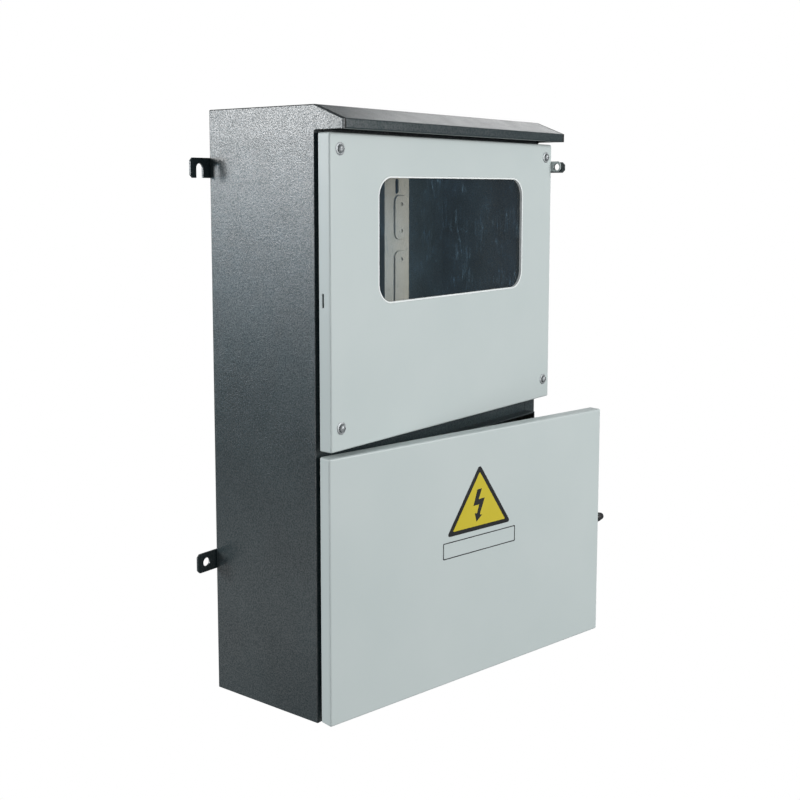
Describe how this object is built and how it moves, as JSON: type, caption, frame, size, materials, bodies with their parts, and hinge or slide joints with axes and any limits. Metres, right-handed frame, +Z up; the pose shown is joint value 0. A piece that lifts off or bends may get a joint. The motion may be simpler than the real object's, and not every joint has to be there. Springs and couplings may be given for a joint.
{
  "type": "solar combiner box",
  "caption": "Wall-mounted sheet steel combiner box with a sloping rain hood, a screwed upper cover with a window and a hinged lower door.",
  "frame": {"origin": "on the wall plane (rear faces of the wall ears), mid-width, level with the bottom of the body", "axes": "+X to the right seen from the front, +Y into the wall, +Z up"},
  "size_m": [0.45, 0.239, 0.625],
  "materials": {
    "body_paint": "wrinkle-texture powder coat, satin",
    "leaf_paint": "fine-texture light grey powder coat, satin",
    "strip_paint": "beige stove enamel, satin",
    "zinc": "bright zinc plated",
    "steel": "plain steel, brushed",
    "galvanised": "hot-dip galvanised sheet",
    "foam": "closed-cell foam, matte",
    "pane": "clear polycarbonate",
    "black_plastic": "moulded, satin",
    "pale_plastic": "moulded, fine matte",
    "red_plastic": "moulded, semi-gloss",
    "yellow_plastic": "moulded, semi-gloss",
    "brass": "milled",
    "insulation_red": "extruded cable insulation",
    "insulation_black": "extruded cable insulation",
    "insulation_green": "extruded cable insulation"
  },
  "bodies": {
    "enclosure": {"body_seal_lug": "body_paint", "body_shell": "body_paint", "breaker_body": "pale_plastic", "cross_bar": "body_paint", "din_rail": "zinc", "ear_bolt_lower_left": "zinc", "ear_bolt_lower_right": "zinc", "ear_bolt_upper_left": "zinc", "ear_bolt_upper_right": "zinc", "earth_bar": "brass", "gland_1": "black_plastic", "gland_2": "black_plastic", "gland_3": "black_plastic", "gland_nut_1": "black_plastic", "gland_nut_2": "black_plastic", "gland_nut_3": "black_plastic", "hinge_body_leaf_1": "steel", "hinge_body_leaf_2": "steel", "hinge_pin_1": "zinc", "hinge_pin_2": "zinc", "isolator_body": "pale_plastic", "latch_keeper": "zinc", "meter_strip_left": "strip_paint", "meter_strip_right": "strip_paint", "mounting_plate": "galvanised", "rain_hood": "body_paint", "surge_base": "pale_plastic", "terminal_block": "pale_plastic", "wall_ear_lower_left": "body_paint", "wall_ear_lower_right": "body_paint", "wall_ear_upper_left": "body_paint", "wall_ear_upper_right": "body_paint", "wire_earth": "insulation_green", "wire_negative": "insulation_black", "wire_positive": "insulation_red", "wire_surge_negative": "insulation_black", "wire_surge_positive": "insulation_red"},
    "upper_cover": {"upper_cover": "leaf_paint", "gasket_upper": "foam", "window_seal": "foam", "window_pane": "pane", "cover_seal_lug": "leaf_paint", "cover_screw_upper_left": "zinc", "cover_screw_upper_right": "zinc", "cover_screw_lower_left": "zinc", "cover_screw_lower_right": "zinc", "cup_washer_upper_left": "zinc", "cup_washer_upper_right": "zinc", "cup_washer_lower_left": "zinc", "cup_washer_lower_right": "zinc"},
    "lower_door": {"lower_door": "leaf_paint", "gasket_lower": "foam", "hinge_door_leaf_1": "steel", "hinge_door_leaf_2": "steel"},
    "latch": {"latch_barrel": "black_plastic", "latch_cam": "zinc"},
    "isolator_handle": {"isolator_handle": "red_plastic"},
    "breaker_toggle": {"breaker_toggle": "black_plastic"},
    "surge_cartridge_1": {"surge_cartridge_1": "yellow_plastic"},
    "surge_cartridge_2": {"surge_cartridge_2": "yellow_plastic"}
  },
  "joints": [
    {"name": "lower_door_hinge", "type": "hinge", "parent": "enclosure", "child": "lower_door", "pos_m": [-0.1933, -0.152, 0.135], "axis": [0, 0, -1], "range_deg": [-11.4, 93.6]},
    {"name": "latch_turn", "type": "hinge", "parent": "lower_door", "child": "latch", "pos_m": [0.19008, -0.23236, 0.1352], "axis": [-0.9803, 0.1977, 0], "range_deg": [0, 90]},
    {"name": "isolator_handle_turn", "type": "hinge", "parent": "enclosure", "child": "isolator_handle", "pos_m": [-0.115, -0.08, 0.16], "axis": [0, -1, 0], "range_deg": [0, 90]},
    {"name": "breaker_toggle_swing", "type": "hinge", "parent": "enclosure", "child": "breaker_toggle", "pos_m": [-0.05, -0.069, 0.16], "axis": [-1, 0, 0], "range_deg": [0, 50]},
    {"name": "surge_cartridge_1_pull", "type": "slide", "parent": "enclosure", "child": "surge_cartridge_1", "axis": [0, -1, 0], "range_m": [0, 0.035]},
    {"name": "surge_cartridge_2_pull", "type": "slide", "parent": "enclosure", "child": "surge_cartridge_2", "axis": [0, -1, 0], "range_m": [0, 0.035]},
    {"name": "upper_cover_lift_off", "type": "slide", "parent": "enclosure", "child": "upper_cover", "axis": [0, -1, 0], "range_m": [0, 0.15]}
  ]
}
